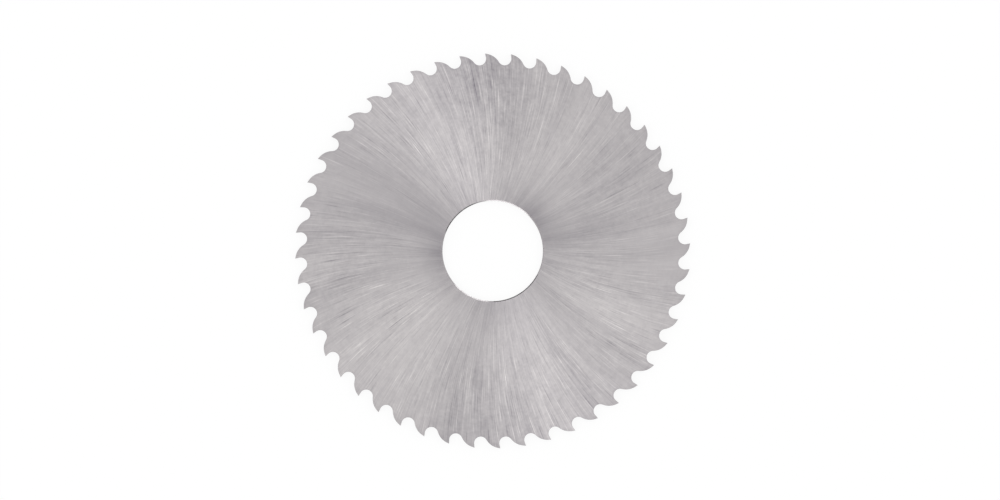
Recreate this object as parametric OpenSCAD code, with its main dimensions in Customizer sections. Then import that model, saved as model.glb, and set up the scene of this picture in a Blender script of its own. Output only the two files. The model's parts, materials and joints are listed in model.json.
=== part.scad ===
// Metal slitting saw: a thin disc of tool steel with curved-back teeth round its rim, ground
// hollow on both sides and bored for an arbor.
// It lies flat. Z is the arbor's axis, the lower corners of the teeth are at Z = 0, and one
// tooth tip points along +X. Seen from above, the teeth cut counter-clockwise.

/* [Blade] */
// Diameter over the tooth tips
blade_d = 63; // [50:0.5:80]
// Width of cut, across the tooth tips
cut_width = 1; // [0.6:0.1:3]
// Diameter of the flat hub faces that the arbor's collars clamp
hub_d = 32; // [24:0.5:40]
// Depth of the hollow grinding at the hub, on each side
hollow = 0.03; // [0.01:0.005:0.06]

/* [Bore] */
// Diameter of the bore that fits the arbor
bore_d = 16; // [10:0.5:20]
// Chamfer at each end of the bore
bore_chamfer = 0.15; // [0.05:0.05:0.2]

/* [Teeth] */
// Number of teeth
teeth = 48; // [40:1:56]
// Depth of the gullets below the tooth tips
tooth_depth = 1.85; // [1.6:0.05:2.4]
// Radius of the gullet's floor
gullet_r = 1.05; // [0.7:0.05:1.2]
// Rake of the cutting face: how far its tip leans ahead of the radius, in degrees
rake = 10; // [0:1:15]
// Length of the straight land behind the tip
land = 0.5; // [0.3:0.05:0.7]
// Clearance of the land: how far it falls away from the tip circle, in degrees
clearance = 15; // [10:1:20]

/* [Hidden] */
$fn = 180;

// How far the gullets and the outline reach past what they cut
reach = 1;
// How far two shapes that only touch are made to overlap, so that their edges cross
bite = 0.002;

tip_r = blade_d / 2;
hub_r = hub_d / 2;
bore_r = bore_d / 2;
blank_r = tip_r + bite;
pitch = 360 / teeth;
side_slope = hollow / (tip_r - hub_r);

// The unit vector at an angle from +X, in degrees
function dir(angle) = [cos(angle), sin(angle)];

// The cutting face runs straight in from the tip on +X, until it meets the gullet's floor
face_in = -dir(rake);
face_side = dir(rake + 90);
tip = tip_r * dir(0);

// The floor is an arc that blends with the cutting face and touches the root circle, so its
// centre is gullet_r from both of them
floor_ring = tip_r - tooth_depth + gullet_r;
floor_offset = tip + (gullet_r - bite) * face_side;
face_mid = tip_r * cos(rake);
face_length = face_mid - sqrt(face_mid ^ 2 - floor_offset * floor_offset + floor_ring ^ 2);
face_end = tip + face_length * face_in;
floor_c = floor_offset + face_length * face_in;

// The land of the next tooth runs straight back from its tip
next_tip = tip_r * dir(pitch);
land_back = dir(pitch - 90 - clearance);
land_side = dir(pitch - clearance);
land_end = next_tip + land * land_back;

// The curved back is the one arc that blends with both the land and the gullet's floor
rise = land_end - floor_c;
back_drop = (rise * rise - gullet_r ^ 2) / (2 * (gullet_r + rise * land_side));
back_r = back_drop + bite;
back_c = land_end - back_drop * land_side;

// Half of the blank's section, as radius and height: bore chamfer, flat hub, hollow side
lower_side = [
    [bore_r, hollow + bore_chamfer],
    [bore_r + bore_chamfer, hollow],
    [hub_r, hollow],
    [blank_r, -side_slope * bite]
];
upper_side = [for (i = [len(lower_side) - 1 : -1 : 0]) [lower_side[i].x, cut_width - lower_side[i].y]];

// The turned blank with its sides ground hollow. Its seam lies midway between two tips
module blank() {
    rotate(pitch / 2) rotate_extrude() polygon(concat(lower_side, upper_side));
}

// What the grinding wheel takes out between the tooth on +X and the next one
module gullet() {
    past_face = tip - reach * face_in;
    past_land = next_tip - reach * land_back;
    difference() {
        union() {
            polygon([past_face, face_end, floor_c, back_c, land_end, past_land,
                     past_land + reach * dir(pitch)]);
            translate(floor_c) circle(gullet_r);
        }
        translate(back_c) circle(back_r);
    }
}

// The blade's outline: the round blank with a gullet ahead of every tooth
module toothed_outline() {
    difference() {
        circle(blank_r);
        for (i = [0 : teeth - 1]) rotate(i * pitch) gullet();
    }
}

module saw_blade() {
    color([0.73, 0.71, 0.72]) intersection() {
        blank();
        translate([0, 0, -reach]) linear_extrude(cut_width + 2 * reach) toothed_outline();
    }
}

saw_blade();
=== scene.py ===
# %% [markdown]
# # A metal slitting saw
# This saw is one thin disc of hardened tool steel. It has a plain bore for an arbor, two sides that are
# ground slightly hollow, and 48 teeth with curved backs round its rim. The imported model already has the
# right size and shape, so this lesson gives it a finer mesh, its ground finish, light and a camera.

# %% Load the frame
import json
from math import radians

import bpy
import numpy as np
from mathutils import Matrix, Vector


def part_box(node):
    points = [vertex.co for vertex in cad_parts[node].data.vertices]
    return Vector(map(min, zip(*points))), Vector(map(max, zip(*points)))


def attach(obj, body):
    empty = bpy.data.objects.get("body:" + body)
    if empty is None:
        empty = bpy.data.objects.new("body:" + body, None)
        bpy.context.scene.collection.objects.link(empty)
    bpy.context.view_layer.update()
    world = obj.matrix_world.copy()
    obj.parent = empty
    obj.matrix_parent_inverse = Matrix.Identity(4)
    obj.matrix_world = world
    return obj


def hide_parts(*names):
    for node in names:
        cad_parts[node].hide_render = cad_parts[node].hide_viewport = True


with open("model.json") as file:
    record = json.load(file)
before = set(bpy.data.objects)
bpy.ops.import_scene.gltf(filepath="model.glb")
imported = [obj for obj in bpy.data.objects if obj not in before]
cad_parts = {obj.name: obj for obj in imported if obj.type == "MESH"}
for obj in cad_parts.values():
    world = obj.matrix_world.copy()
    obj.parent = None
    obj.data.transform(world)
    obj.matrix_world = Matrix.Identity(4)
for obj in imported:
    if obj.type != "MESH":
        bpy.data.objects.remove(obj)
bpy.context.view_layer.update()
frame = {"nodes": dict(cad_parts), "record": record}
scene = bpy.context.scene
print("frame nodes:", sorted(frame["nodes"]))

# %% [markdown]
# ## Sizes
# What the frame can tell is read from it: the tips' radius and the width of cut from the node's box, and
# the bore, its chamfer and the depth of the hollow grinding from the mounts. Only the shape of the teeth
# and the size of the hub are written down again. Everything is in metres and degrees.

# %% Sizes of the blade
MM = 0.001
TEETH = 48
TOOTH_DEPTH = 1.85 * MM
GULLET_R = 1.05 * MM
RAKE = 10
LAND = 0.5 * MM
CLEARANCE = 15
HUB_R = 16 * MM

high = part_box("saw_blade")[1]
mounts = {mount["name"]: mount for mount in frame["record"]["mounts"]}
bore = mounts["arbor_bore"]["dims"]
tip_r = high.x
width = high.z
hollow = mounts["lower_hub_face"]["pos_m"][2]
bore_r = bore["r_mm"] * MM
chamfer = (width - 2 * hollow - bore["length_mm"] * MM) / 2
pitch = 360 / TEETH
print(f"tips {tip_r / MM:.2f} mm, bore {bore_r / MM:.2f} mm, chamfer {chamfer / MM:.3f} mm")

# %% [markdown]
# ## The outline of one tooth
# A grinding wheel makes each gullet: a straight cutting face that leans ahead of the radius, a round
# floor, a curved back and a short straight land behind the next tip. The stretches run smoothly into each
# other, so each arc's centre follows from the radii. Complex numbers hold the points, because one
# multiplication then turns a whole tooth round the axis.

# %% One tooth
FACE_STEPS, FLOOR_STEPS, BACK_STEPS, LAND_STEPS = 6, 20, 10, 4


def toward(degrees):
    """The unit vector at an angle from +X, as a complex number: cosine plus i times sine."""
    return np.exp(1j * np.radians(degrees))


def dot(a, b):
    """The dot product of two complex numbers: the real part of one times the other's conjugate."""
    return (a * np.conj(b)).real


def stretch(start, end, steps):
    """Points on a straight line: start plus a share of the way to the end, without the end itself."""
    return start + (end - start) * np.arange(steps) / steps


def arc(centre, radius, first, last, steps):
    """Points on an arc: the centre plus the radius toward angles in degrees, without the last one."""
    return centre + radius * toward(stretch(first, last, steps))


def tooth_outline():
    """From one tip to the next: a line along the cutting face, an arc of GULLET_R that touches the face
    and the root circle, an arc that touches that floor and the land, and a line along the land."""
    tip = tip_r + 0j
    face_in = -toward(RAKE)
    beside_face = tip + GULLET_R * toward(RAKE + 90)
    floor_ring = tip_r - TOOTH_DEPTH + GULLET_R
    middle = -dot(beside_face, face_in)
    face_length = middle - np.sqrt(middle**2 - abs(beside_face) ** 2 + floor_ring**2)
    floor_c = beside_face + face_length * face_in

    next_tip = tip_r * toward(pitch)
    land_side = toward(pitch - CLEARANCE)
    land_end = next_tip - 1j * LAND * land_side
    rise = land_end - floor_c
    back_r = (abs(rise) ** 2 - GULLET_R**2) / (2 * (GULLET_R + dot(rise, land_side)))
    back_c = land_end - back_r * land_side
    meet = np.degrees(np.angle(back_c - floor_c))

    points = np.concatenate([
        stretch(tip, tip + face_length * face_in, FACE_STEPS),
        arc(floor_c, GULLET_R, RAKE + 270, meet, FLOOR_STEPS),
        arc(back_c, back_r, meet - 180, pitch - CLEARANCE, BACK_STEPS),
        stretch(land_end, next_tip, LAND_STEPS),
    ])
    return points, np.degrees(np.angle(floor_c)), back_r


tooth, floor_angle, back_r = tooth_outline()
print(f"{len(tooth)} points a tooth, curved back of {back_r / MM:.2f} mm radius")

# %% [markdown]
# ## The blade as one wrapped sheet
# Teeth could be cut from a disc, but such cuts leave long thin faces that shade badly. Here the whole blade
# is one grid of points that closes on itself both ways, like a tyre: one parameter runs round the outline,
# the other round the section from the bore over the upper side, the edge, the lower side and back. Near the
# teeth the rows follow the outline, and further in they become circles. A tip and a gullet's floor keep
# their own angles on the inner circles, so that no quad folds over.

# %% The outline and the circles inside it
EDGE_R = 0.03 * MM
RING_R = 28.7 * MM

teeth_turns = toward(pitch * np.arange(TEETH))
outline = (teeth_turns[:, None] * tooth).ravel()


def inset(points, distance):
    """Moves a closed outline inwards: each corner goes along the sum of its two edge normals, divided by
    one plus their dot product, so that both edges move by the distance."""
    along = np.roll(points, -1) - points
    normal = -1j * along / abs(along)
    before = np.roll(normal, 1)
    return points - distance * (before + normal) / (1 + dot(before, normal))


def ring_angles():
    """The angle of each outline point on the inner circles. It grows evenly with the distance along the
    outline: by half a pitch from a tip to the gullet's floor, and by half a pitch on to the next tip."""
    steps = abs(np.diff(np.append(tooth, tooth[0] * toward(pitch))))
    travelled = np.concatenate([[0], np.cumsum(steps)])
    floor_at = travelled[np.argmin(abs(tooth))]
    marks = floor_angle + pitch * np.array([-0.5, 0, 0.5])
    one = np.interp(travelled[:-1], [0, floor_at, travelled[-1]], marks)
    return (pitch * np.arange(TEETH)[:, None] + one).ravel()


ring = toward(ring_angles())
edge_line = inset(outline, EDGE_R)
print(f"{len(outline)} points round the blade")

# %% [markdown]
# ## The section of the blade
# Cut along a radius, the blade shows a chamfer at the bore, a flat hub, and sides that rise by a few
# hundredths of a millimetre to the teeth, so that only the teeth rub in the cut. The edges are rounded by a
# hair, as a stone leaves them, so that they catch a little light. One row of the grid is one point of this
# section, carried round the outline. Rows are closer together near the bore, where the tone changes fast.

# %% The section, row by row
INNER_RADII = np.array([8.7, 9.4, 10.4, 11.8, 13.6]) * MM
OUTER_RADII = np.array([19, 22, 25.5]) * MM
SIDE_RADII = np.concatenate([[bore_r + chamfer], INNER_RADII, [HUB_R], OUTER_RADII, [RING_R]])
TOOTH_SHARES = np.array([0.35, 0.65, 1])


def upper_height(points):
    """The height of the upper side: flat at the hub, then rising evenly to the full width at the tips."""
    return width - hollow * np.clip((tip_r - abs(points)) / (tip_r - HUB_R), 0, 1)


def blade_grid():
    """Rows of the grid, each a row of places and a row of heights. The upper half goes from the bore's
    wall outwards to the flank, and the lower half is the same rows, mirrored and taken backwards."""
    circles = SIDE_RADII[:, None] * ring
    toothed = circles[-1] + TOOTH_SHARES[:, None] * (edge_line - circles[-1])
    side = np.concatenate([circles, toothed])
    half_round = 1 - np.sqrt(0.5)
    edge = np.stack([inset(outline, EDGE_R * half_round), outline])
    edge_drop = EDGE_R * np.array([[half_round], [1]])
    wall = bore_r * ring[None]
    wall_height = np.full(wall.shape, width - hollow - chamfer)
    places = np.concatenate([wall, side, edge])
    heights = np.concatenate([wall_height, upper_height(side), upper_height(edge) - edge_drop])
    return np.concatenate([places, places[::-1]]), np.concatenate([heights, width - heights[::-1]])


places, heights = blade_grid()
rows, columns = places.shape
print(f"grid of {rows} rows and {columns} columns")

# %% [markdown]
# ## From grid to mesh
# Each point is joined to the next in its row and in its column, with the last joined to the first. The
# order of a quad's corners turns its face outwards. Three finishes meet on the blade, so each band of rows
# gets the number of its finish: the ground sides, the ground teeth with their edges, and the bore.

# %% The mesh
SIDE_FINISH, TOOTH_FINISH, BORE_FINISH = 0, 1, 2
SHARP_ANGLE = radians(20)


def wrapped_quads(rows, columns):
    """The corners of every quad: a point, the next row's, that one's neighbour and its own neighbour."""
    index = np.arange(rows * columns).reshape(rows, columns)
    below = np.roll(index, -1, axis=0)
    corners = [index, below, np.roll(below, -1, axis=1), np.roll(index, -1, axis=1)]
    return np.stack(corners, axis=-1).reshape(-1, 4)


def row_finishes():
    """The finish of each band of rows, from the upper chamfer round to the bore's wall."""
    side_bands = len(SIDE_RADII) + len(TOOTH_SHARES) - 1
    half = [BORE_FINISH] + [SIDE_FINISH] * side_bands + [TOOTH_FINISH] * 2
    return np.array(half + [TOOTH_FINISH] + half[::-1] + [BORE_FINISH])


points = np.stack([places.real, places.imag, heights], axis=-1).reshape(-1, 3)
quads = wrapped_quads(rows, columns)
mesh = bpy.data.meshes.new("blade")
mesh.from_pydata(points, [], quads)
mesh.polygons.foreach_set("material_index", np.repeat(row_finishes(), columns).astype(np.int32))
mesh.polygons.foreach_set("use_smooth", np.ones(len(quads), bool))
mesh.set_sharp_from_angle(angle=SHARP_ANGLE)
blade = bpy.data.objects.new("blade", mesh)
scene.collection.objects.link(blade)
print(f"{len(points)} points, {2 * len(quads)} triangles")

# %% [markdown]
# ## A flat map of the blade
# Other programs can't work out a finish made of nodes, so for them it has to be baked into a picture, and a
# map says which place in the picture belongs to which place on the blade. The blade is unrolled for it: the
# angle runs across and the radius runs up, so the grinding lines stand upright, and highlights are drawn
# out in the right direction. Four quarter turns lie one above the other. Each has a thin strip for the
# bore, a broad one for the sides and a thin one for the teeth's flanks. Both sides share one, as they are
# alike.

# %% The flat map
QUARTERS = 4
SPARE_TURN = 3
BORE_STRIP = np.array([0.01, 0.02, 0.04, 0.05])
SIDE_STRIP = np.array([0.07, 0.92])
TOOTH_STRIP = np.array([0.94, 0.947, 0.953, 0.977, 0.983, 0.99])


def at_corners(grid):
    """A grid's values at the corners of every quad, in the order of the quad's points."""
    return np.stack([grid[:-1, :-1], grid[1:, :-1], grid[1:, 1:], grid[:-1, 1:]], axis=-1)


def flat_map():
    """Across: the angle within the quarter turn, with some spare at both ends. Up: the quarter's number
    plus a share of its height, which grows with the radius on the sides and row by row in the strips."""
    closed = np.pad(places, ((0, 1), (0, 1)), mode="wrap")
    across = at_corners(np.degrees(np.unwrap(np.angle(closed), axis=1)))
    up = at_corners(np.interp(abs(closed), [SIDE_RADII[0], tip_r], SIDE_STRIP))
    finishes = row_finishes()
    across[finishes != SIDE_FINISH] = across[1]
    tooth_bands = np.flatnonzero(finishes == TOOTH_FINISH)
    bore_bands = [-2, -1, 0]
    for bands, strip in ((tooth_bands, TOOTH_STRIP), (bore_bands, BORE_STRIP)):
        up[bands] = np.stack([strip[:-1], strip[1:], strip[1:], strip[:-1]], axis=-1)[:, None]
    quarter = (np.arange(columns) * QUARTERS // columns)[:, None]
    turn = 360 / QUARTERS
    share = (across - turn * quarter + SPARE_TURN) / (turn + 2 * SPARE_TURN)
    return np.stack([share, (quarter + up) / QUARTERS], axis=-1)


unrolled = flat_map()
mesh.uv_layers.new(name="OFBake").uv.foreach_set("vector", unrolled.ravel().astype(np.float32))
print(f"flat map from {unrolled.min():.3f} to {unrolled.max():.3f}")

# %% [markdown]
# ## Fans of light and shade
# Ground steel mirrors its surroundings in broad fans that are a little lighter or darker. Here these fans
# are painted highlights and painted shade in the sides' colour, and the steel is darker close to the bore.
# The lines also stand out more in some places than in others. Each fan is a bell curve in the angle round
# the axis, times a bell curve in the radius. The fans are added up for all points at once and kept on the
# mesh as attributes, which the finish reads. Along the teeth the sides' edges get a painted shade line.

# %% Fans
ALL_ROUND = 1000
# Painted shade: how much darker the sides are along the teeth's edges
PAINTED_EDGE_SHADE = 0.2
# Each fan: angle and spread in degrees, radius and reach in millimetres, strength
# Painted highlights and painted shade of the sides, and a darker ring close to the bore
PAINTED_LIGHT_FANS = [
    (218, 16, 18, 14, 0.6),
    (54, 14, 17, 9, 0.35),
    (333, 8, 20, 8, 0.4),
    (154, 11, 14, 9, -0.5),
    (92, 10, 29, 6, -0.5),
    (265, 10, 30, 5, -0.35),
    (8, 7, 14, 6, -0.3),
    (0, ALL_ROUND, 8, 2.5, -0.33),
    (182, 13, 8, 1.8, -0.55),
    (40, 14, 8, 1.5, -0.5),
    (270, 10, 9, 3, -0.25),
    (90, 12, 8, 4, 0.3),
    (318, 12, 8, 2.5, 0.25),
    (78, 6, 24, 6, -0.3),
    (116, 7, 20, 14, -0.2),
    (145, 9, 8, 2, 0.35),
    (214, 12, 8, 2, -0.3),
    (240, 10, 8, 3, 0.1),
    (50, 14, 9, 3, -0.25),
    (38, 7, 23, 5, -0.2),
    (188, 9, 20, 4, -0.15),
]
LINE_FANS = [
    (0, ALL_ROUND, 8, 4, -0.25),
    (0, ALL_ROUND, 31.5, 1.5, -0.3),
    (88, 14, 28, 8, 0.6),
    (95, 16, 9, 6, 0.4),
    (282, 12, 22, 10, 0.35),
    (258, 10, 28, 6, 0.3),
    (343, 8, 14, 4, 0.4),
    (208, 8, 15, 4, 0.4),
    (358, 8, 27, 7, -0.7),
    (150, 12, 20, 12, -0.6),
    (30, 20, 9, 5, -0.4),
    (185, 18, 9, 5, -0.4),
]


def bell(distance, spread):
    """A bell curve: 1 at no distance, falling with the square of the distance over the spread."""
    return np.exp(-0.5 * (distance / spread) ** 2)


def fan_sum(fans, places):
    """The sum of the fans: each one's strength times a bell curve of the angle between it and the place,
    times a bell curve of the difference between their radii."""
    angle, spread, radius, reach, strength = np.array(fans).T
    apart = np.degrees(np.angle(places[:, None] * toward(-angle)))
    further = abs(places[:, None]) / MM - radius
    return bell(apart, spread) * bell(further, reach) @ strength


def keep(name, values):
    """Keeps one number for each point of the blade."""
    attribute = mesh.attributes.new(name, "FLOAT", "POINT")
    attribute.data.foreach_set("value", values.ravel().astype(np.float32))
    print(f"{name}: from {values.min():.2f} to {values.max():.2f}")


# The fans' painted highlights and painted shade, with a painted shade line along the teeth's edges
tone = fan_sum(PAINTED_LIGHT_FANS, places.ravel()).reshape(rows, columns)
edge_row = len(SIDE_RADII) + len(TOOTH_SHARES)
# Painted shade line along the teeth's edges, on the upper and the lower side
tone[[edge_row, rows - 1 - edge_row]] -= PAINTED_EDGE_SHADE
keep("painted_light_fans", tone)
keep("line_fans", fan_sum(LINE_FANS, places.ravel()))

# %% [markdown]
# ## Building materials with few words
# Materials are trees of nodes. They could be joined by hand in the node editor, but code can be read from
# top to bottom and run again. A few helpers keep it short: one adds a node and fills its inputs with values
# or links, one does so for sums and products, and one starts an empty material.

# %% Helpers for nodes
def feed(tree, socket, value):
    """Links the value to the socket if it is a socket itself, and otherwise writes it there."""
    if isinstance(value, bpy.types.NodeSocket):
        tree.links.new(value, socket)
    else:
        socket.default_value = value


def add(tree, kind, inputs=(), **settings):
    """A new node of that kind with its settings and its inputs, given by name or number."""
    made = tree.nodes.new("ShaderNode" + kind)
    for name, value in settings.items():
        setattr(made, name, value)
    for key, value in dict(inputs).items():
        feed(tree, made.inputs[key], value)
    return made


def calc(tree, operation, *values):
    """The result of a Math node on those values."""
    return add(tree, "Math", dict(enumerate(values)), operation=operation).outputs[0]


def empty_material(name):
    """A new material, and its tree with no nodes."""
    material = bpy.data.materials.new(name)
    material.use_nodes = True
    material.node_tree.nodes.clear()
    return material, material.node_tree


# %% [markdown]
# ## Grinding lines
# Every ground surface of the saw carries lines of all sizes: broad streaks, bundles of lines, hairlines and
# the short grain between them. A picture of such lines would blur when seen from close by. Stretched noise
# stays sharp: it changes fast across the lines and slowly along them. One group makes the layers, and each
# finish says what lies across and along.

# %% The group of grinding lines
# Each layer: its name, its factors across and along the lines, and the noise's finer octaves
LAYERS = (
    ("Streaks", 1, 1, 2),
    ("Bundles", 8, 4, 1),
    ("Lines", 30, 9, 1),
    ("Grain", 4, 40, 2),
)
NOISE_MEAN = 0.5


def line_group():
    """Each layer is noise at the place across and along the lines, times the layer's two factors, less
    its mean of a half. Patches is a second, unrelated noise of the coarsest layer."""
    group = bpy.data.node_groups.new("grinding_lines", "ShaderNodeTree")
    group.interface.new_socket("Across", in_out="INPUT", socket_type="NodeSocketVector")
    group.interface.new_socket("Along", in_out="INPUT", socket_type="NodeSocketFloat")
    for name in [layer[0] for layer in LAYERS] + ["Patches"]:
        group.interface.new_socket(name, in_out="OUTPUT", socket_type="NodeSocketFloat")
    given = group.nodes.new("NodeGroupInput")
    result = group.nodes.new("NodeGroupOutput")
    along = add(group, "CombineXYZ", {"Z": given.outputs["Along"]}).outputs[0]
    place = add(group, "VectorMath", {0: given.outputs["Across"], 1: along}, operation="ADD").outputs[0]
    for name, finer, shorter, octaves in LAYERS:
        stretched = add(group, "VectorMath", {0: place, 1: (finer, finer, shorter)}, operation="MULTIPLY")
        settings = {"Vector": stretched.outputs[0], "Scale": 1, "Detail": octaves, "Roughness": 1}
        noise = add(group, "TexNoise", settings)
        feed(group, result.inputs[name], calc(group, "SUBTRACT", noise.outputs[0], NOISE_MEAN))
        if name == "Streaks":
            spare = add(group, "SeparateColor", {0: noise.outputs["Color"]}).outputs[1]
            feed(group, result.inputs["Patches"], calc(group, "SUBTRACT", spare, NOISE_MEAN))
    return group


grinding_lines = line_group()
print("group:", grinding_lines.name, "with", len(grinding_lines.nodes), "nodes")

# %% [markdown]
# ## Steel
# All finishes of the saw are one steel. A metal shows only reflections, tinted by its own colour, so a tone
# picks a place between a darker and a brighter steel, or a little beyond them. Where the lines all run one
# way, anisotropy draws the highlights out across them. A place on the blade is told by its direction from
# the axis and its distance from it, because the lines follow those two.

# %% Steel and places on the blade
DARK_STEEL = (0.386, 0.366, 0.381, 1)
BRIGHT_STEEL = (0.558, 0.533, 0.539, 1)
IN_PLANE = (1, 1, 0)


def steel(name, roughness, anisotropy):
    """A new steel: a metal whose highlights are drawn out across its grinding lines."""
    material, tree = empty_material(name)
    shader = add(tree, "BsdfPrincipled", {"Metallic": 1, "Roughness": roughness, "Anisotropic": anisotropy})
    add(tree, "OutputMaterial", {"Surface": shader.outputs[0]})
    return material, tree, shader


def steel_colour(tree, tone):
    """Dark steel plus the tone times the step from dark to bright steel."""
    shades = {0: tone, 6: DARK_STEEL, 7: BRIGHT_STEEL}
    return add(tree, "Mix", shades, data_type="RGBA", clamp_factor=False).outputs[2]


def ground_lines(tree, across, along):
    """The layers of grinding lines at those places."""
    return add(tree, "Group", {"Across": across, "Along": along}, node_tree=grinding_lines).outputs


def in_plane(tree):
    """The place of the shaded point in the blade's plane, without its height."""
    place = add(tree, "TexCoord").outputs["Object"]
    return add(tree, "VectorMath", {0: place, 1: IN_PLANE}, operation="MULTIPLY").outputs[0]


def height(tree):
    """The height of the shaded point."""
    place = add(tree, "TexCoord").outputs["Object"]
    return add(tree, "SeparateXYZ", {0: place}).outputs["Z"]


def outwards(tree, flat):
    """The direction from the axis to a place in the blade's plane, as a unit vector."""
    return add(tree, "VectorMath", {0: flat}, operation="NORMALIZE").outputs[0]


def times(tree, vector, factor):
    """A vector times a number."""
    return add(tree, "VectorMath", {0: vector, "Scale": factor}, operation="SCALE").outputs[0]


def dress(material):
    """Gives the blade its next finish."""
    mesh.materials.append(material)
    print(f"finish: {material.name}, {len(material.node_tree.nodes)} nodes")


# %% [markdown]
# ## The ground sides
# The sides are ground by the edge of a big wheel that crosses the blade from the bore to the teeth, while
# the blade turns. Its lines look like rays, but they are arcs as big as the wheel: they lie along the
# radius halfway out, and lean a few degrees one way near the bore and the other way near the teeth. So the
# noise is fine in the angle and slow in the radius, and the angle is first turned back along the wheel's
# arc. Most hairlines are faint and a few are strong, as single grains of the wheel leave them.

# %% The sides' steel
WHEEL_R = 81 * MM
STRAIGHT_AT = 16.5 * MM
STREAKS_ROUND = 4.4
STREAK_LENGTH = 50 * MM
SIDE_TONE, STREAK_TONE, MARK_TONE = 0.7, 1.25, 0.8
HAIR_SHARE, GRAIN_SHARE = 10, 1.2
CROWDING, CROWD_MEAN = 4, 1.5
BRIGHT_LEAN = 0.12
SIDE_ROUGHNESS, ROUGHNESS_CHANGE = 0.4, 0.2
SIDE_ANISOTROPY = 0.9
LINE_DEPTH, BUMP_STRENGTH = 0.01 * MM, 0.1


def turned_back(tree, direction, radius):
    """The direction turned by the angle at the blade's axis between the wheel's axis and the point. By the
    cosine rule its cosine is the sum of the squares of the radius and of the radius where the arc lies
    along it, divided by twice the radius and by the distance of the two axes."""
    apart = np.hypot(WHEEL_R, STRAIGHT_AT)
    squares = calc(tree, "MULTIPLY_ADD", radius, radius, STRAIGHT_AT**2)
    cosine = calc(tree, "DIVIDE", squares, calc(tree, "MULTIPLY", radius, 2 * apart))
    angle = calc(tree, "ARCCOSINE", cosine)
    turned = add(tree, "VectorRotate", {"Vector": direction, "Angle": angle}, rotation_type="Z_AXIS")
    return turned.outputs[0]


def hairlines(tree, ground):
    """The finest layer times its own size, so that few lines are strong, and bright ones a little more so
    than dark ones, times a crowd that grows and shrinks in patches."""
    crowd = calc(tree, "MULTIPLY_ADD", ground["Patches"], CROWDING, CROWD_MEAN)
    size = calc(tree, "ABSOLUTE", ground["Lines"])
    size = calc(tree, "MULTIPLY_ADD", ground["Lines"], BRIGHT_LEAN, size)
    return calc(tree, "MULTIPLY", ground["Lines"], calc(tree, "MULTIPLY", crowd, size))


def side_steel():
    """Steel whose tone is the sum of the painted highlights and shade of the fans, the streaks and the
    marks.
    The marks are the bundles, the hairlines and the grain, stronger or weaker by their own fans, and they
    are also its bumps."""
    material, tree, shader = steel("ground_side_steel", SIDE_ROUGHNESS, SIDE_ANISOTROPY)
    flat = in_plane(tree)
    radius = add(tree, "VectorMath", {0: flat}, operation="LENGTH").outputs["Value"]
    across = times(tree, turned_back(tree, outwards(tree, flat), radius), STREAKS_ROUND)
    ground = ground_lines(tree, across, calc(tree, "DIVIDE", radius, STREAK_LENGTH))
    marks = calc(tree, "MULTIPLY_ADD", hairlines(tree, ground), HAIR_SHARE, ground["Bundles"])
    marks = calc(tree, "MULTIPLY_ADD", ground["Grain"], GRAIN_SHARE, marks)
    line_fans = add(tree, "Attribute", attribute_name="line_fans").outputs["Fac"]
    marks = calc(tree, "MULTIPLY", marks, calc(tree, "ADD", line_fans, 1))
    # Painted highlights and painted shade of the fans, read from the mesh
    painted_light_fans = add(tree, "Attribute", attribute_name="painted_light_fans").outputs["Fac"]
    tone = calc(tree, "ADD", painted_light_fans, SIDE_TONE)
    tone = calc(tree, "MULTIPLY_ADD", ground["Streaks"], STREAK_TONE, tone)
    tone = calc(tree, "MULTIPLY_ADD", marks, MARK_TONE, tone)
    feed(tree, shader.inputs["Base Color"], steel_colour(tree, tone))
    rough = calc(tree, "MULTIPLY_ADD", ground["Bundles"], ROUGHNESS_CHANGE, SIDE_ROUGHNESS)
    feed(tree, shader.inputs["Roughness"], rough)
    bump = add(tree, "Bump", {"Height": marks, "Strength": BUMP_STRENGTH, "Distance": LINE_DEPTH})
    feed(tree, shader.inputs["Normal"], bump.outputs[0])
    tangent = add(tree, "Tangent", direction_type="RADIAL", axis="Z")
    feed(tree, shader.inputs["Tangent"], tangent.outputs[0])
    return material


dress(side_steel())

# %% [markdown]
# ## The teeth and the bore
# The wheel that grinds the gullets travels straight through the blade's thickness, so its lines run from
# one side to the other. The bore is ground round and round, so its lines are rings. Both finishes use the
# same group: on the teeth the place in the plane lies across the lines, and in the bore the height does.
# The blade then takes the place of the plain solid and lies on the same body.

# %% The teeth's and the bore's steel
TOOTH_LINE = 0.5 * MM
TOOTH_LINE_LENGTH = 2 * MM
TOOTH_ROUGHNESS = 0.3
BORE_LINE = 0.2 * MM
BORE_TURNS = 0.05
BORE_ROUGHNESS = 0.16
FLANK_TONE = 0.6


def lined_steel(name, roughness, lines_at):
    """Steel whose tone and roughness follow the bundles and the hairlines at the places given."""
    material, tree, shader = steel(name, roughness, 0)
    ground = ground_lines(tree, *lines_at(tree))
    marks = calc(tree, "ADD", ground["Bundles"], ground["Lines"])
    tone = calc(tree, "MULTIPLY_ADD", marks, MARK_TONE, FLANK_TONE)
    feed(tree, shader.inputs["Base Color"], steel_colour(tree, tone))
    rough = calc(tree, "MULTIPLY_ADD", marks, ROUGHNESS_CHANGE, roughness)
    feed(tree, shader.inputs["Roughness"], rough)
    return material


def tooth_lines(tree):
    """Across: the place in the blade's plane. Along: the height."""
    across = times(tree, in_plane(tree), 1 / TOOTH_LINE)
    return across, calc(tree, "DIVIDE", height(tree), TOOTH_LINE_LENGTH)


def bore_lines(tree):
    """Rings: the direction from the axis hardly changes the lines, and the height changes them fast."""
    across = times(tree, outwards(tree, in_plane(tree)), BORE_TURNS)
    return across, calc(tree, "DIVIDE", height(tree), BORE_LINE)


dress(lined_steel("ground_tooth_steel", TOOTH_ROUGHNESS, tooth_lines))
dress(lined_steel("bore_steel", BORE_ROUGHNESS, bore_lines))
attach(blade, "root")
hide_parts("saw_blade")

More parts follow.
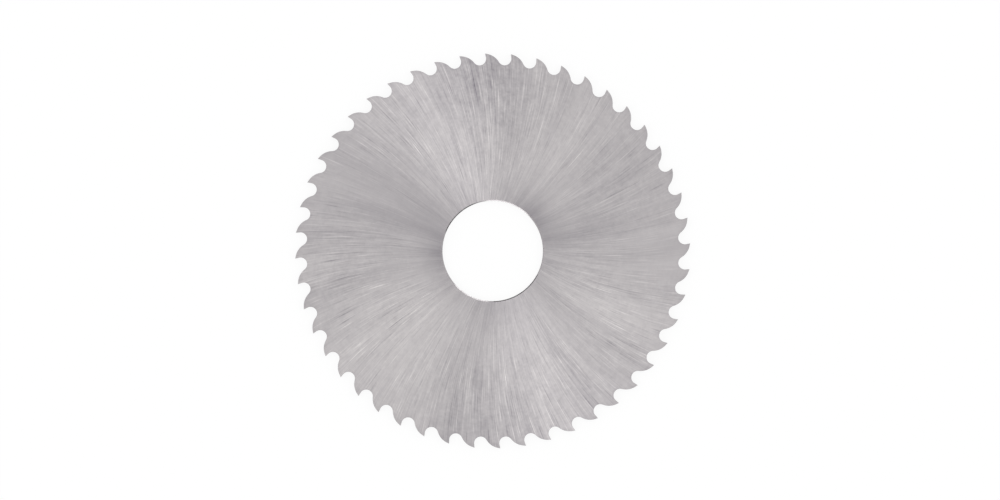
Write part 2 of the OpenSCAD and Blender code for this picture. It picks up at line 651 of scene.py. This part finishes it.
# %% [markdown]
# ## The floor
# The saw lies on a plain white floor. White paint under soft light would come out grey, and more light
# would spoil the steel. So the floor glows white to the camera and in the metal, and the share of real
# paint that is left keeps a faint shadow of the blade.

# %% Floor
WHITE = (1, 1, 1, 1)
HALF_FLOOR = 2.0
SHADOW_SHARE = 0.12


def stage_plane(name, corners, material):
    """A flat sheet of the studio, which isn't part of the saw."""
    sheet = bpy.data.meshes.new(name)
    sheet.from_pydata(corners, [], [(0, 1, 2, 3)])
    sheet.materials.append(material)
    made = bpy.data.objects.new(name, sheet)
    scene.collection.objects.link(made)
    return made


def seen_rays(tree):
    """1 for what the camera sees directly, in metal or through glass, and 0 for light on matt surfaces."""
    path = add(tree, "LightPath")
    seen = calc(tree, "MAXIMUM", path.outputs["Is Camera Ray"], path.outputs["Is Glossy Ray"])
    return calc(tree, "MAXIMUM", seen, path.outputs["Is Transmission Ray"])


def white_floor():
    """White paint that glows for the eye by all but its share of shadow."""
    material, tree = empty_material("white_floor")
    paint = add(tree, "BsdfDiffuse", {"Color": WHITE})
    glow = add(tree, "Emission", {"Color": WHITE, "Strength": 1})
    share = calc(tree, "MULTIPLY", seen_rays(tree), 1 - SHADOW_SHARE)
    mixed = add(tree, "MixShader", {0: share, 1: paint.outputs[0], 2: glow.outputs[0]})
    add(tree, "OutputMaterial", {"Surface": mixed.outputs[0]})
    return material


floor_corners = HALF_FLOOR * np.array([(-1, -1, 0), (1, -1, 0), (1, 1, 0), (-1, 1, 0)])
floor = stage_plane("floor", floor_corners, white_floor())
print(f"{floor.name}: {2 * HALF_FLOOR} m wide")

# %% [markdown]
# ## The light
# The world around the saw is white, so the steel mirrors white and its tone shows as it is written. Two
# soft boxes light the blade from both sides, and two low strips put a glint on the edges of the teeth that
# face them. A lamp's brightness in a mirror is its power divided by pi and by its area, so the power
# follows from the brightness wanted.

# %% World and soft boxes
WORLD_LEVEL = 0.9
BOX_DISTANCE = 0.6
# Each box: azimuth and tilt from the zenith in degrees, width and height in metres, brightness
SOFT_BOXES = (
    (18, 45, 0.25, 0.35, 1.0),
    (198, 45, 0.25, 0.35, 1.0),
    (61, 84, 0.45, 0.1, 2.2),
    (249, 84, 0.6, 0.1, 2.2),
)


def studio_world():
    """A world that is white where it is seen or mirrored, and has its own level for matt surfaces."""
    world = bpy.data.worlds.new("studio")
    world.use_nodes = True
    tree = world.node_tree
    tree.nodes.clear()
    level = calc(tree, "MAXIMUM", seen_rays(tree), WORLD_LEVEL)
    sky = add(tree, "Background", {"Color": WHITE, "Strength": level})
    add(tree, "OutputWorld", {"Surface": sky.outputs[0]})
    return world


def soft_box(name, azimuth, tilt, wide, tall, brightness):
    """A flat lamp at that azimuth, tilted from the zenith and turned to the blade's centre. Its power is
    its brightness times pi times its area."""
    lamp = bpy.data.lights.new(name, "AREA")
    lamp.shape = "RECTANGLE"
    lamp.size, lamp.size_y = wide, tall
    lamp.energy = brightness * np.pi * wide * tall
    box = bpy.data.objects.new(name, lamp)
    flat = toward(azimuth) * np.sin(radians(tilt))
    box.location = BOX_DISTANCE * Vector((flat.real, flat.imag, np.cos(radians(tilt))))
    box.rotation_euler = (radians(tilt), 0, radians(azimuth + 90))
    box.visible_camera = False
    scene.collection.objects.link(box)
    print(f"{name}: {lamp.energy:.3f} W")


scene.world = studio_world()
for number, settings in enumerate(SOFT_BOXES):
    soft_box(f"soft_box_{number + 1}", *settings)

# %% [markdown]
# ## Dark cards
# In a white room the chamfers and the rounded edges would be as bright as the sides, and the eye would lose
# them. A photographer stands dark cards beside shiny metal. Two low cards give the bore its dark arcs and
# the teeth that face them a fine dark line. They stand outside the picture and are hidden from the camera.

# %% Dark cards
MATT_BLACK = (0.02, 0.02, 0.02, 1)
# Each card: azimuth in degrees, half its width in metres
CARDS = ((119, 0.3), (312, 0.22))
CARD_DISTANCE = 0.5
CARD_HEIGHT = 0.08


def dark_card():
    """Matt black card."""
    material, tree = empty_material("dark_card")
    matt = add(tree, "BsdfDiffuse", {"Color": MATT_BLACK})
    add(tree, "OutputMaterial", {"Surface": matt.outputs[0]})
    return material


card_material = dark_card()
for number, (azimuth, half_width) in enumerate(CARDS):
    ends = toward(azimuth) * (CARD_DISTANCE + 1j * half_width * np.array([-1, 1, 1, -1]))
    tops = CARD_HEIGHT * np.array([0, 0, 1, 1])
    corners = np.stack([ends.real, ends.imag, tops], axis=-1)
    card = stage_plane(f"dark_card_{number + 1}", corners, card_material)
    card.visible_camera = False
    print(f"{card.name}: {2 * half_width:.2f} m wide")

# %% [markdown]
# ## Camera
# The camera looks straight down from far off, so the blade shows as a true outline. It is turned a little,
# because a tooth tip doesn't point exactly along the picture's side, and it is aimed beside the centre.
# The size of one pixel on the blade gives the distance that fills the picture as it should.

# %% Camera
PICTURE_PX = 1000
BLADE_PX = 395.35
AIM_PX = 7.31 + 0.94j
ROLL = -2.22
LENS = 200
SENSOR = 36

pixel = 2 * tip_r / BLADE_PX
aim = AIM_PX * pixel * toward(ROLL)
distance = PICTURE_PX * pixel * LENS / SENSOR
camera_data = bpy.data.cameras.new("camera")
camera_data.lens = LENS
camera_data.sensor_width = SENSOR
camera_data.sensor_fit = "HORIZONTAL"
camera = bpy.data.objects.new("camera", camera_data)
camera.location = (aim.real, aim.imag, width + distance)
camera.rotation_euler = (0, 0, radians(ROLL))
scene.collection.objects.link(camera)
scene.camera = camera
scene.view_settings.view_transform = "Standard"
print(f"camera {distance:.3f} m above the blade")
